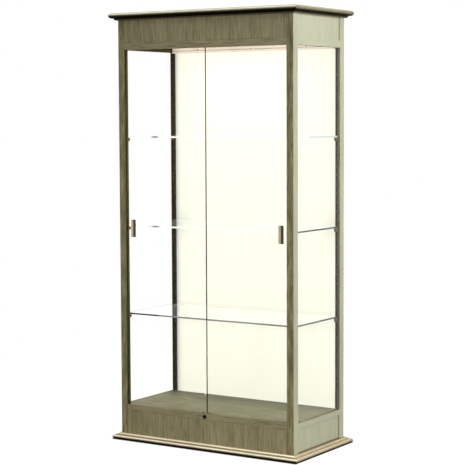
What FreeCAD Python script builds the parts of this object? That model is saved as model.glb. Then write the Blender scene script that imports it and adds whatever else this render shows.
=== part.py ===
"""Lighted floor-standing display case: four wooden posts, glass sides, two sliding glass doors.

Millimetres. X runs to the right, Y to the back, Z up. The origin is on the floor, under the
middle of the case. The doors are closed, the lock is open and the light switch is on.
"""
import FreeCAD, Part
import math
import os

Vector = FreeCAD.Vector

# Whole case
total_height = 1829.0
body_width = 864.0
body_depth = 420.0

# Corner posts, an L in plan: a flange across the front or rear and a leg along the side
post_face_width = 32.0
post_side_depth = 35.0
post_flange = 25.0
post_leg = 21.0
post_edge_radius = 2.0

# Crown and plinth, mitred mouldings with a bullnose nosing and a small bead beside it
crown_overhang = 30.0
crown_nosing = 22.0
crown_bead = 9.0
crown_bead_step = 6.0
crown_bead_foot = 4.0
plinth_overhang = 30.0
plinth_nosing = 17.0
plinth_bead = 8.0
plinth_bead_step = 7.5
plinth_bead_foot = 6.0
moulding_inset = 40.0
top_panel_thickness = 10.0
top_panel_lap = 8.0

# Rails and panels of the base and the header
base_panel_height = 100.5
base_rail_height = 25.5
header_rail_height = 29.0
header_panel_height = 95.0
front_panel_thickness = 16.0
side_panel_thickness = 10.0
side_panel_recess = 4.0
rear_panel_thickness = 18.0
rail_rear_lip = 5.8
deck_thickness = 16.0
soffit_thickness = 12.0
soffit_recess = 20.0
cleat_height = 24.0
cleat_thickness = 12.0
cleat_groove_rise = 9.0
cleat_groove_width = 2.0
cleat_groove_depth = 1.5
back_panel_thickness = 6.0
back_board_thickness = 4.0

# Fixed glass in the sides
side_glass_thickness = 5.0
side_glass_setback = 4.5
glass_groove_depth = 10.0
glass_groove_play = 0.2
glass_edge_gap = 1.0

# Sliding doors and their two tracks
door_glass_thickness = 5.0
door_setback = 7.0
door_gap = 6.5
door_overlap = 16.0
door_end_gap = 1.0
door_top_lap = 11.0
track_wall = 1.2
track_side_room = 1.5
lower_track_height = 7.0
upper_track_height = 20.0
shoe_length = 30.0
shoe_base = 2.0
shoe_height = 5.0
shoe_side_play = 0.3
shoe_running_gap = 0.1

# Scooped finger pulls
pull_width = 22.0
pull_height = 74.0
pull_floor = 1.3
pull_running_gap = 1.0
pull_end_wall = 3.5
pull_edge_radius = 1.2
scoop_width = 17.0
pull_post_distance = 36.0
pull_rise = 764.0

# Lock in the front base rail, with a bolt that lifts between the two doors
lock_face_diameter = 18.0
lock_face_thickness = 1.5
lock_barrel_diameter = 11.0
lock_barrel_play = 0.1
lock_plug_diameter = 8.0
lock_plug_play = 0.05
lock_track_gap = 0.5
lock_disc_gap = 0.1
keyway_width = 1.4
keyway_height = 5.0
keyway_depth = 7.0
crank_radius = 4.2
crank_pin_diameter = 2.4
crank_disc_thickness = 1.5
crank_start_angle = -45.0
crank_end_angle = 45.0
crank_gap = 0.3
bolt_thickness = 3.3
bolt_width = 18.0
bolt_play = 0.4
bolt_foot = 3.0
bolt_top_gap = 0.6
strike_width = 7.0
strike_cover = 1.2
strike_bolt_gap = 1.0
strike_running_gap = 0.7
strike_track_gap = 0.5

# Glass shelves on round pegs in rows of holes
shelf_count = 3
shelf_thickness = 6.5
shelf_glass_gap = 5.0
shelf_post_gap = 1.5
first_shelf_rise = 388.5
peg_pitch = 38.1
pitches_per_shelf = 10
peg_diameter = 13.0
peg_reach = 15.0
peg_flat = 0.8
peg_shank_diameter = 6.0
peg_shank_length = 12.0
peg_hole_play = 0.05
peg_hole_spare = 1.0
peg_glass_gap = 0.8
peg_row_margin = 90.0

# Light in the soffit
lens_length = 650.0
lens_width = 100.0
lens_thickness = 3.0
lens_play = 0.5
lens_ledge = 5.0
lens_front_distance = 43.0
light_tray_height = 34.0
light_tray_wall = 1.0
light_tray_flange = 12.0
led_board_width = 18.0
led_board_thickness = 1.6
led_board_end_gap = 20.0
led_size = 5.0
led_height = 1.0
led_pitch = 30.0
clip_length = 18.0
clip_width = 12.0
clip_thickness = 1.5
clip_lens_lap = 6.0
clip_spacing = 264.0

# Driver box, mains inlet and rocker switch at the back of the header
driver_length = 140.0
driver_width = 50.0
driver_height = 30.0
driver_edge_radius = 3.0
driver_panel_gap = 12.0
electrics_rise = 62.0
inlet_post_distance = 70.0
inlet_face_width = 32.0
inlet_face_height = 25.0
inlet_face_thickness = 2.5
inlet_body_width = 27.0
inlet_body_height = 20.0
inlet_body_depth = 22.0
inlet_wall = 1.8
inlet_cavity_depth = 16.0
inlet_corner = 4.0
inlet_pin_width = 4.0
inlet_pin_thickness = 2.0
inlet_pin_length = 12.0
inlet_pin_spread = 7.0
inlet_pin_offset = 2.0
inlet_pin_root = 3.0
cutout_play = 0.2
switch_inlet_distance = 60.0
switch_face_width = 15.0
switch_face_height = 22.0
switch_face_thickness = 1.6
switch_body_width = 12.0
switch_body_height = 19.0
switch_body_depth = 15.0
switch_wall = 1.0
rocker_play = 0.25
rocker_crown = 2.4
rocker_tilt = 8.0
rocker_skirt = 4.0
rocker_pin_diameter = 2.0
rocker_pin_play = 0.05

# Levels and faces that follow from the sizes above
left = -body_width / 2.0
front = -body_depth / 2.0
rear = body_depth / 2.0
plinth_height = plinth_nosing + plinth_bead
crown_bottom = total_height - crown_nosing - crown_bead
base_rail_bottom = plinth_height + base_panel_height
deck_level = base_rail_bottom + base_rail_height
header_rail_top = crown_bottom - header_panel_height
header_level = header_rail_top - header_rail_height
soffit_level = header_level + soffit_recess
post_inner = left + post_face_width
leg_inner = left + post_leg
leg_front_end = front + post_side_depth
leg_rear_end = rear - post_side_depth
flange_front_end = front + post_flange
flange_rear_end = rear - post_flange
inlet_place = post_inner + inlet_post_distance
switch_place = inlet_place + switch_inlet_distance

# Depth of the two door planes and of the tracks that carry them
front_pane = front + door_setback
rear_pane = front_pane + door_glass_thickness + door_gap
track_front = front_pane - track_side_room - track_wall
track_rear = rear_pane + door_glass_thickness + track_side_room + track_wall
rail_rear = track_rear + rail_rear_lip
gap_middle = front_pane + door_glass_thickness + door_gap / 2.0

# Heights that follow the lower track, the lock under it and the doors in it
track_bed = deck_level - lower_track_height
track_floor = track_bed + track_wall
shoe_bottom = track_floor + shoe_running_gap
door_bottom = shoe_bottom + shoe_base
door_top = header_level + door_top_lap
lock_axis_height = track_bed - lock_track_gap - lock_barrel_diameter / 2.0
bolt_front = gap_middle - bolt_thickness / 2.0
bolt_rear = gap_middle + bolt_thickness / 2.0
crank_start_drop = crank_radius * math.sin(math.radians(-crank_start_angle))
bolt_slot_rise = lock_axis_height - crank_start_drop
bolt_bottom = bolt_slot_rise - crank_pin_diameter / 2.0 - bolt_play - bolt_foot
bolt_top = deck_level - bolt_top_gap
crank_end_rise = crank_radius * math.sin(math.radians(crank_end_angle))
raised_bolt_top = bolt_top + crank_start_drop + crank_end_rise

# Shelf levels and the line of their pegs
shelf_pitch = peg_pitch * pitches_per_shelf
peg_inset = side_glass_setback + side_glass_thickness + peg_glass_gap + peg_diameter / 2.0
peg_to_shelf = peg_diameter / 2.0 - peg_flat
back_panel_face = flange_rear_end - back_board_thickness - back_panel_thickness


def block(x_low, x_high, y_low, y_high, z_low, z_high):
    """Box between two corners."""
    return Part.makeBox(x_high - x_low, y_high - y_low, z_high - z_low, Vector(x_low, y_low, z_low))


def prism_up(points, z_low, z_high):
    """Closed plan outline, raised from one level to another."""
    corners = [Vector(x, y, z_low) for x, y in points]
    face = Part.Face(Part.makePolygon(corners + corners[:1]))
    return face.extrude(Vector(0, 0, z_high - z_low))


def rod_back(diameter, x, z, y_low, y_high):
    """Round bar along Y."""
    return Part.makeCylinder(diameter / 2.0, y_high - y_low, Vector(x, y_low, z), Vector(0, 1, 0))


def mirrored_x(shape):
    return shape.mirror(Vector(0, 0, 0), Vector(1, 0, 0))


def mirrored_y(shape):
    return shape.mirror(Vector(0, 0, 0), Vector(0, 1, 0))


def shelf_bottom(index):
    """Underside of a shelf, counted from the lowest."""
    return deck_level + first_shelf_rise + index * shelf_pitch


def peg_heights():
    """Centre heights of one row of peg holes, in step with the shelves."""
    middle = shelf_bottom(0) - peg_to_shelf
    steps_down = int((middle - deck_level - peg_row_margin) // peg_pitch)
    steps_up = int((header_level - peg_row_margin - middle) // peg_pitch)
    return [middle + step * peg_pitch for step in range(-steps_down, steps_up + 1)]


def post():
    """Front left corner post: L section, glass groove and peg holes in the end of its leg."""
    start = Vector(left, leg_front_end, plinth_height)
    bend_side = Vector(left, front + post_edge_radius, plinth_height)
    bend_front = Vector(left + post_edge_radius, front, plinth_height)
    reach = post_edge_radius * (1.0 - math.sqrt(0.5))
    bend_middle = Vector(left + reach, front + reach, plinth_height)
    outline = [
        bend_front,
        Vector(post_inner, front, plinth_height),
        Vector(post_inner, flange_front_end, plinth_height),
        Vector(leg_inner, flange_front_end, plinth_height),
        Vector(leg_inner, leg_front_end, plinth_height),
        start,
        bend_side,
    ]
    edges = [Part.LineSegment(a, b).toShape() for a, b in zip(outline, outline[1:])]
    edges.append(Part.Arc(bend_side, bend_middle, bend_front).toShape())
    section = Part.Face(Part.Wire(edges))
    stick = section.extrude(Vector(0, 0, crown_bottom - plinth_height))
    groove_low = left + side_glass_setback - glass_groove_play
    groove_high = left + side_glass_setback + side_glass_thickness + glass_groove_play
    groove = block(groove_low, groove_high, leg_front_end - glass_groove_depth, leg_front_end,
                   deck_level - glass_groove_depth, header_level + glass_groove_depth)
    hole_depth = peg_shank_length + peg_hole_spare
    hole_diameter = peg_shank_diameter + 2.0 * peg_hole_play
    holes = [rod_back(hole_diameter, left + peg_inset, z, leg_front_end - hole_depth, leg_front_end)
             for z in peg_heights()]
    return stick.cut(groove).cut(Part.makeCompound(holes))


def moulding_outline(overhang, nosing, bead, bead_step, bead_foot):
    """Points of the plinth section as (outwards from the body, up from the floor)."""
    half = nosing / 2.0
    bead_reach = overhang - half - bead_step
    bulge = math.sqrt(0.5)
    bead_middle = (bead_foot + (bead_reach - bead_foot) * bulge, nosing + bead * bulge)
    return {
        "inner_low": (-moulding_inset, 0.0),
        "nose_low": (overhang - half, 0.0),
        "nose_tip": (overhang, half),
        "nose_high": (overhang - half, nosing),
        "bead_low": (bead_reach, nosing),
        "bead_middle": bead_middle,
        "bead_high": (bead_foot, nosing + bead),
        "inner_high": (-moulding_inset, nosing + bead),
    }


def moulding_stick(outline, overhang, half_run, half_depth, level, upwards):
    """One mitred length of moulding along X, on the -Y side of a body of the given half sizes."""
    run = half_run + overhang

    def place(name):
        out, up = outline[name]
        return Vector(-run, -half_depth - out, level + upwards * up)

    edges = [
        Part.LineSegment(place("inner_low"), place("nose_low")).toShape(),
        Part.Arc(place("nose_low"), place("nose_tip"), place("nose_high")).toShape(),
        Part.LineSegment(place("nose_high"), place("bead_low")).toShape(),
        Part.Arc(place("bead_low"), place("bead_middle"), place("bead_high")).toShape(),
        Part.LineSegment(place("bead_high"), place("inner_high")).toShape(),
        Part.LineSegment(place("inner_high"), place("inner_low")).toShape(),
    ]
    stick = Part.Face(Part.Wire(edges)).extrude(Vector(2.0 * run, 0, 0))
    height = outline["inner_high"][1]
    low = min(level, level + upwards * height)
    outer = half_depth + overhang
    inner = half_depth - moulding_inset
    inner_run = half_run - moulding_inset
    plan = [(-run, -outer), (run, -outer), (inner_run, -inner), (-inner_run, -inner)]
    return stick.common(prism_up(plan, low, low + height))


def moulding_ring(name, outline, overhang, level, upwards):
    """Four mitred lengths that run round the body, by node name."""
    half_width = body_width / 2.0
    half_body_depth = body_depth / 2.0
    long_stick = moulding_stick(outline, overhang, half_width, half_body_depth, level, upwards)
    short_stick = moulding_stick(outline, overhang, half_body_depth, half_width, level, upwards)
    turns = {"front": (long_stick, 0), "right": (short_stick, 90),
             "rear": (long_stick, 180), "left": (short_stick, -90)}
    ring = {}
    for side, (stick, turn) in turns.items():
        turned = stick.copy()
        turned.rotate(Vector(0, 0, 0), Vector(0, 0, 1), turn)
        ring[name + "_" + side] = turned
    return ring


def top_panel():
    """Flat panel let into the crown, flush with its top."""
    half_x = body_width / 2.0 - moulding_inset + top_panel_lap
    half_y = body_depth / 2.0 - moulding_inset + top_panel_lap
    return block(-half_x, half_x, -half_y, half_y, total_height - top_panel_thickness, total_height)


def crown_ring():
    """Crown lengths, rebated on their inner edge for the top panel."""
    outline = moulding_outline(crown_overhang, crown_nosing, crown_bead, crown_bead_step, crown_bead_foot)
    ring = moulding_ring("crown", outline, crown_overhang, total_height, -1)
    rebate = top_panel()
    return {name: stick.cut(rebate) for name, stick in ring.items()}


def plinth_ring():
    outline = moulding_outline(plinth_overhang, plinth_nosing, plinth_bead,
                               plinth_bead_step, plinth_bead_foot)
    return moulding_ring("plinth", outline, plinth_overhang, 0.0, 1)


def front_rail(z_low, z_high):
    """Rail between the front posts, with wings that fill the corners behind their flanges."""
    body = block(post_inner, -post_inner, front, rail_rear, z_low, z_high)
    wings = block(leg_inner, -leg_inner, flange_front_end, rail_rear, z_low, z_high)
    return body.fuse(wings).removeSplitter()


def track_recess(z_low, z_high):
    """Room that a track takes out of a front rail."""
    return block(post_inner, -post_inner, track_front, track_rear, z_low, z_high)


def bolt_pocket(z_low, z_high):
    """Slot in which the lock bolt rises."""
    half = bolt_width / 2.0 + bolt_play
    return block(-half, half, bolt_front - bolt_play, bolt_rear + bolt_play, z_low, z_high)


def base_rail_front():
    """Front base rail with the lower track's bed, the lock bore and the bolt pocket."""
    rail = front_rail(base_rail_bottom, deck_level)
    bore_diameter = lock_barrel_diameter + 2.0 * lock_barrel_play
    bore = rod_back(bore_diameter, 0.0, lock_axis_height, front, bolt_front)
    pocket = bolt_pocket(bolt_bottom - bolt_play, track_bed)
    return rail.cut(track_recess(track_bed, deck_level)).cut(bore).cut(pocket)


def header_rail_front():
    """Front header rail with the deep bed of the upper track."""
    rail = front_rail(header_level, header_rail_top)
    return rail.cut(track_recess(header_level, header_level + upper_track_height))


def side_rail(z_low, z_high, groove_low, groove_high):
    """Left side rail between the posts, flush outside, grooved for the side glass."""
    rail = block(left, leg_inner, leg_front_end, leg_rear_end, z_low, z_high)
    outer = left + side_glass_setback - glass_groove_play
    inner = left + side_glass_setback + side_glass_thickness + glass_groove_play
    return rail.cut(block(outer, inner, leg_front_end, leg_rear_end, groove_low, groove_high))


def base_rail_side():
    return side_rail(base_rail_bottom, deck_level, deck_level - glass_groove_depth, deck_level)


def header_rail_side():
    return side_rail(header_level, header_rail_top, header_level, header_level + glass_groove_depth)


def front_panel(z_low, z_high):
    """Flush panel between the front posts."""
    return block(post_inner, -post_inner, front, front + front_panel_thickness, z_low, z_high)


def side_panel(z_low, z_high):
    """Left side panel between the posts, set back from their face."""
    outer = left + side_panel_recess
    return block(outer, outer + side_panel_thickness, leg_front_end, leg_rear_end, z_low, z_high)


def rear_panel(z_low, z_high):
    """Panel between the flanges of the rear posts."""
    return block(post_inner, -post_inner, flange_rear_end, flange_rear_end + rear_panel_thickness,
                 z_low, z_high)


def rear_panel_face():
    return flange_rear_end + rear_panel_thickness


def electrics_height():
    return header_level + electrics_rise


def header_panel_rear():
    """Rear header panel with the openings for the inlet and the switch."""
    panel = rear_panel(header_level, crown_bottom)
    inlet_hole = centred_back(inlet_place, inlet_body_width + 2.0 * cutout_play,
                              inlet_body_height + 2.0 * cutout_play, flange_rear_end, rear_panel_face())
    switch_hole = centred_back(switch_place, switch_body_width + 2.0 * cutout_play,
                               switch_body_height + 2.0 * cutout_play, flange_rear_end, rear_panel_face())
    return panel.cut(inlet_hole).cut(switch_hole)


def centred_back(x_middle, width, height, y_low, y_high):
    """Box along Y round the line of the inlet and the switch."""
    middle = electrics_height()
    return block(x_middle - width / 2.0, x_middle + width / 2.0, y_low, y_high,
                 middle - height / 2.0, middle + height / 2.0)


def deck():
    """Floor of the display space."""
    return block(leg_inner, -leg_inner, rail_rear, flange_rear_end, deck_level - deck_thickness, deck_level)


def lens_box(margin, z_low, z_high):
    """Box in the place of the lens, grown outwards by a margin."""
    half = lens_length / 2.0 + margin
    lens_front = rail_rear + lens_front_distance
    return block(-half, half, lens_front - margin, lens_front + lens_width + margin, z_low, z_high)


def soffit():
    """Ceiling board up behind the header rails, with the light opening, rebated from below for the lens."""
    board = block(leg_inner, -leg_inner, rail_rear, flange_rear_end,
                  soffit_level, soffit_level + soffit_thickness)
    rebate = lens_box(lens_play, soffit_level, soffit_level + lens_thickness)
    opening = lens_box(-lens_ledge, soffit_level, soffit_level + soffit_thickness)
    return board.cut(rebate).cut(opening)


def rear_cleat():
    """Batten across the top of the back panel that carries the soffit, with a groove along its face."""
    cleat_front = back_panel_face - cleat_thickness
    cleat_bottom = soffit_level - cleat_height
    batten = block(leg_inner, -leg_inner, cleat_front, back_panel_face, cleat_bottom, soffit_level)
    groove_bottom = cleat_bottom + cleat_groove_rise
    return batten.cut(block(leg_inner, -leg_inner, cleat_front, cleat_front + cleat_groove_depth,
                            groove_bottom, groove_bottom + cleat_groove_width))


def back_panel():
    """Ivory panel behind the shelves, in the rebate of the rear posts."""
    return block(leg_inner, -leg_inner, back_panel_face, back_panel_face + back_panel_thickness,
                 deck_level, soffit_level)


def back_board():
    """Hardboard that closes the back."""
    return block(leg_inner, -leg_inner, flange_rear_end - back_board_thickness, flange_rear_end,
                 deck_level, soffit_level)


def side_glass():
    """Left side pane, standing in the base rail's groove."""
    outer = left + side_glass_setback
    in_groove = glass_groove_depth - glass_edge_gap
    return block(outer, outer + side_glass_thickness, leg_front_end - in_groove, leg_rear_end + in_groove,
                 deck_level - glass_groove_depth, header_level + in_groove)


def shelf(index):
    """One loose glass shelf, resting on four pegs."""
    half = body_width / 2.0 - side_glass_setback - side_glass_thickness - shelf_glass_gap
    shelf_front = leg_front_end + shelf_post_gap
    shelf_rear = min(leg_rear_end, back_panel_face) - shelf_post_gap
    low = shelf_bottom(index)
    return block(-half, half, shelf_front, shelf_rear, low, low + shelf_thickness)


def peg(height):
    """Front left shelf peg: round head with a flat on top, shank in the post."""
    x = left + peg_inset
    head = rod_back(peg_diameter, x, height, leg_front_end, leg_front_end + peg_reach)
    flat_low = height + peg_diameter / 2.0 - peg_flat
    flat = block(x - peg_diameter, x + peg_diameter, leg_front_end, leg_front_end + peg_reach,
                 flat_low, flat_low + peg_diameter)
    shank = rod_back(peg_shank_diameter, x, height, leg_front_end - peg_shank_length, leg_front_end)
    return head.cut(flat).fuse(shank)


def shelf_pegs():
    """All twelve pegs, four under each shelf."""
    pegs = []
    for index in range(shelf_count):
        front_left = peg(shelf_bottom(index) - peg_to_shelf)
        rear_left = mirrored_y(front_left)
        pegs += [front_left, rear_left, mirrored_x(front_left), mirrored_x(rear_left)]
    return Part.makeCompound(pegs)


def track(bed, lip):
    """Double channel on its side walls and middle rib, from its bed to its open lips."""
    low = min(bed, lip)
    high = max(bed, lip)
    bar = block(post_inner, -post_inner, track_front, track_rear, low, high)
    inward = math.copysign(track_wall, lip - bed)
    floor = bed + inward
    channels = []
    for pane in (front_pane, rear_pane):
        channels.append(block(post_inner, -post_inner, pane - track_side_room,
                              pane + door_glass_thickness + track_side_room,
                              min(floor, lip), max(floor, lip)))
    return bar.cut(Part.makeCompound(channels))


def lower_track():
    """Shallow track in the base rail, slotted for the lock bolt."""
    return track(track_bed, deck_level).cut(bolt_pocket(track_bed, deck_level))


def upper_track():
    return track(header_level + upper_track_height, header_level)


def door_ends(side):
    """X of a door's post end and meeting end; side is -1 for the left door and 1 for the right."""
    return side * (-post_inner - door_end_gap), -side * door_overlap / 2.0


def door_glass(side, pane):
    """Frameless pane of one sliding door."""
    post_end, meeting_end = door_ends(side)
    return block(min(post_end, meeting_end), max(post_end, meeting_end),
                 pane, pane + door_glass_thickness, door_bottom, door_top)


def door_shoes(side, pane):
    """Two nylon shoes that carry the pane's lower edge in its channel."""
    post_end, meeting_end = door_ends(side)
    walls = track_side_room - shoe_side_play
    shoes = []
    for end, inwards in ((post_end, -side), (meeting_end, side)):
        other = end + inwards * shoe_length
        shoe = block(min(end, other), max(end, other), pane - walls, pane + door_glass_thickness + walls,
                     shoe_bottom, shoe_bottom + shoe_height)
        shoes.append(shoe.cut(door_glass(side, pane)))
    return Part.makeCompound(shoes)


def door_pull(side, pane):
    """Scooped finger pull on the front of a pane."""
    thickness = door_gap - pull_running_gap
    scoop_depth = thickness - pull_floor
    x_middle = side * (-post_inner - pull_post_distance)
    z_middle = deck_level + pull_rise
    face = pane - thickness
    plate = block(x_middle - pull_width / 2.0, x_middle + pull_width / 2.0, face, pane,
                  z_middle - pull_height / 2.0, z_middle + pull_height / 2.0)
    outer_edges = [edge for edge in plate.Edges if abs(edge.CenterOfMass.y - face) < pull_edge_radius]
    plate = plate.makeFillet(pull_edge_radius, outer_edges)
    scoop_radius = ((scoop_width / 2.0) ** 2 + scoop_depth ** 2) / (2.0 * scoop_depth)
    scoop_length = pull_height - 2.0 * pull_end_wall
    scoop_foot = Vector(x_middle, face + scoop_depth - scoop_radius, z_middle - scoop_length / 2.0)
    scoop = Part.makeCylinder(scoop_radius, scoop_length, scoop_foot)
    return plate.cut(scoop)


def door_strike(side):
    """Block on the inner face of a pane that the raised bolt stops."""
    thickness = (door_gap - strike_running_gap) / 2.0
    near = bolt_width / 2.0 + strike_bolt_gap
    far = near + strike_width
    glass_face = gap_middle + side * door_gap / 2.0
    other_face = glass_face - side * thickness
    return block(min(side * near, side * far), max(side * near, side * far),
                 min(glass_face, other_face), max(glass_face, other_face),
                 deck_level + strike_track_gap, raised_bolt_top + strike_cover)


def crank_pin_place(angle):
    """Centre of the crank pin, in X and Z, with the key turned to an angle."""
    turn = math.radians(angle)
    return crank_radius * math.cos(turn), lock_axis_height + crank_radius * math.sin(turn)


def crank_disc_front():
    return bolt_front - crank_gap - crank_disc_thickness


def lock_housing():
    """Round black face and the barrel that the key plug turns in."""
    face = rod_back(lock_face_diameter, 0.0, lock_axis_height, front - lock_face_thickness, front)
    rim = [edge for edge in face.Edges if edge.CenterOfMass.y < front - lock_face_thickness / 2.0]
    face = face.makeFillet(lock_face_thickness / 2.0, [edge for edge in rim if len(edge.Vertexes) == 1])
    barrel_end = crank_disc_front() - lock_disc_gap
    barrel = rod_back(lock_barrel_diameter, 0.0, lock_axis_height, front, barrel_end)
    bore_diameter = lock_plug_diameter + 2.0 * lock_plug_play
    bore = rod_back(bore_diameter, 0.0, lock_axis_height, front - lock_face_thickness, rear)
    return face.fuse(barrel).cut(bore)


def lock_plug():
    """Key plug with its keyway, and the crank disc and pin behind it."""
    lock_front = front - lock_face_thickness
    disc_front = crank_disc_front()
    plug = rod_back(lock_plug_diameter, 0.0, lock_axis_height, lock_front, disc_front)
    disc = rod_back(lock_barrel_diameter, 0.0, lock_axis_height, disc_front, bolt_front - crank_gap)
    pin_x, pin_z = crank_pin_place(crank_start_angle)
    pin = rod_back(crank_pin_diameter, pin_x, pin_z, bolt_front - crank_gap, bolt_rear)
    keyway = block(-keyway_width / 2.0, keyway_width / 2.0, lock_front, lock_front + keyway_depth,
                   lock_axis_height - keyway_height / 2.0, lock_axis_height + keyway_height / 2.0)
    return plug.fuse(disc).fuse(pin).cut(keyway)


def lock_bolt():
    """Flat bolt, lifted by the crank pin in its slot."""
    plate = block(-bolt_width / 2.0, bolt_width / 2.0, bolt_front, bolt_rear, bolt_bottom, bolt_top)
    room = crank_pin_diameter / 2.0 + bolt_play
    start_x, start_z = crank_pin_place(crank_start_angle)
    slot = block(start_x - room, crank_radius + room, bolt_front, bolt_rear, start_z - room, start_z + room)
    return plate.cut(slot)


def light_tray():
    """Folded steel tray over the light opening, with flanges that rest on the soffit."""
    low = soffit_level + soffit_thickness
    high = low + light_tray_height
    outer = lens_box(-lens_ledge, low, high)
    flange = lens_box(light_tray_flange - lens_ledge, low, low + light_tray_wall)
    inner = lens_box(-lens_ledge - light_tray_wall, low, high - light_tray_wall)
    return outer.fuse(flange).cut(inner).removeSplitter()


def light_lens():
    """Opal panel that closes the light opening flush with the soffit."""
    return lens_box(0.0, soffit_level, soffit_level + lens_thickness)


def led_rows():
    """Y of the two LED boards."""
    lens_front = rail_rear + lens_front_distance
    return [lens_front + lens_width * share for share in (1.0 / 3.0, 2.0 / 3.0)]


def led_boards():
    """Two strips under the top of the tray, each with a row of LEDs."""
    ceiling = soffit_level + soffit_thickness + light_tray_height - light_tray_wall
    half = lens_length / 2.0 - lens_ledge - light_tray_wall - led_board_end_gap
    low = ceiling - led_board_thickness
    count = int((2.0 * half - led_size) // led_pitch) + 1
    first = -(count - 1) * led_pitch / 2.0
    strips = []
    for y in led_rows():
        strip = block(-half, half, y - led_board_width / 2.0, y + led_board_width / 2.0, low, ceiling)
        leds = [block(first + n * led_pitch - led_size / 2.0, first + n * led_pitch + led_size / 2.0,
                      y - led_size / 2.0, y + led_size / 2.0, low - led_height, low) for n in range(count)]
        strips.append(strip.multiFuse(leds))
    return Part.makeCompound(strips)


def lens_clips():
    """Four small plates under the soffit that hold the lens."""
    lens_front = rail_rear + lens_front_distance
    lens_rear = lens_front + lens_width
    clips = []
    for x in (-clip_spacing / 2.0, clip_spacing / 2.0):
        for lens_side in (lens_front + clip_lens_lap - clip_width, lens_rear - clip_lens_lap):
            clips.append(block(x - clip_length / 2.0, x + clip_length / 2.0,
                               lens_side, lens_side + clip_width,
                               soffit_level - clip_thickness, soffit_level))
    return Part.makeCompound(clips)


def light_driver():
    """Power supply box on the soffit, near the inlet."""
    low = soffit_level + soffit_thickness
    driver_rear = flange_rear_end - driver_panel_gap
    driver_middle = (inlet_place + switch_place) / 2.0
    box = block(driver_middle - driver_length / 2.0, driver_middle + driver_length / 2.0,
                driver_rear - driver_width, driver_rear, low, low + driver_height)
    upright = [edge for edge in box.Edges if abs(edge.tangentAt(edge.FirstParameter).z) > 0.5]
    return box.makeFillet(driver_edge_radius, upright)


def power_inlet():
    """Appliance inlet shell with a shrouded cavity, through the rear header panel."""
    face_rear = rear_panel_face() + inlet_face_thickness
    face = centred_back(inlet_place, inlet_face_width, inlet_face_height, rear_panel_face(), face_rear)
    body = centred_back(inlet_place, inlet_body_width, inlet_body_height,
                        rear_panel_face() - inlet_body_depth, rear_panel_face())
    half_width = inlet_body_width / 2.0 - inlet_wall
    half_height = inlet_body_height / 2.0 - inlet_wall
    middle = electrics_height()
    cavity_low = face_rear - inlet_cavity_depth
    corners = [(-half_width, -half_height), (half_width, -half_height),
               (half_width, half_height - inlet_corner), (half_width - inlet_corner, half_height),
               (inlet_corner - half_width, half_height), (-half_width, half_height - inlet_corner)]
    points = [Vector(inlet_place + x, cavity_low, middle + z) for x, z in corners]
    outline = Part.Face(Part.makePolygon(points + points[:1]))
    cavity = outline.extrude(Vector(0, inlet_cavity_depth, 0))
    return face.fuse(body).cut(cavity).cut(inlet_pins())


def inlet_pins():
    """Three flat contact pins of the inlet."""
    floor = rear_panel_face() + inlet_face_thickness - inlet_cavity_depth
    middle = electrics_height()
    places = [(-inlet_pin_spread, -inlet_pin_offset), (0.0, inlet_pin_offset),
              (inlet_pin_spread, -inlet_pin_offset)]
    pins = []
    for x, z in places:
        pins.append(block(inlet_place + x - inlet_pin_thickness / 2.0,
                          inlet_place + x + inlet_pin_thickness / 2.0,
                          floor - inlet_pin_root, floor + inlet_pin_length,
                          middle + z - inlet_pin_width / 2.0, middle + z + inlet_pin_width / 2.0))
    return Part.makeCompound(pins)


def rocker_radius():
    """Sweep radius of the rocker's ends about its pivot."""
    return switch_body_height / 2.0 - switch_wall - rocker_play


def switch_housing():
    """Switch body with a bezel on the rear face of the header."""
    face_rear = rear_panel_face() + switch_face_thickness
    face = centred_back(switch_place, switch_face_width, switch_face_height, rear_panel_face(), face_rear)
    body = centred_back(switch_place, switch_body_width, switch_body_height,
                        rear_panel_face() - switch_body_depth, rear_panel_face())
    well = centred_back(switch_place, switch_body_width - 2.0 * switch_wall,
                        switch_body_height - 2.0 * switch_wall,
                        rear_panel_face() - switch_body_depth + switch_wall, face_rear)
    return face.fuse(body).cut(well).fuse(rocker_bar(rocker_pin_diameter, switch_body_width - switch_wall))


def rocker_bar(diameter, width):
    """Round bar along X on the rocker's pivot line."""
    return Part.makeCylinder(diameter / 2.0, width,
                             Vector(switch_place - width / 2.0, rear_panel_face(), electrics_height()),
                             Vector(1, 0, 0))


def switch_rocker():
    """Rocker with a shallow V face, tilted to its on side about a pin along X."""
    width = switch_body_width - 2.0 * switch_wall - 2.0 * rocker_play
    radius = rocker_radius()
    pivot_y = rear_panel_face()
    middle = electrics_height()
    x_low = switch_place - width / 2.0
    drum = rocker_bar(2.0 * radius, width)
    crown = switch_face_thickness + rocker_crown
    end_drop = radius * math.tan(math.radians(rocker_tilt))
    side_view = [(-radius, -rocker_skirt), (radius, -rocker_skirt), (radius, crown),
                 (0.0, crown - end_drop), (-radius, crown)]
    points = [Vector(x_low, pivot_y + y, middle + z) for z, y in side_view]
    wedge = Part.Face(Part.makePolygon(points + points[:1])).extrude(Vector(width, 0, 0))
    pin_room = rocker_bar(rocker_pin_diameter + 2.0 * rocker_pin_play, width)
    rocker = drum.common(wedge).cut(pin_room)
    rocker.rotate(Vector(switch_place, pivot_y, middle), Vector(1, 0, 0), rocker_tilt)
    return rocker


def side_pair(name, shape):
    """A left piece and its mirror image on the right, by node name."""
    return {name + "_left": shape, name + "_right": mirrored_x(shape)}


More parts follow.
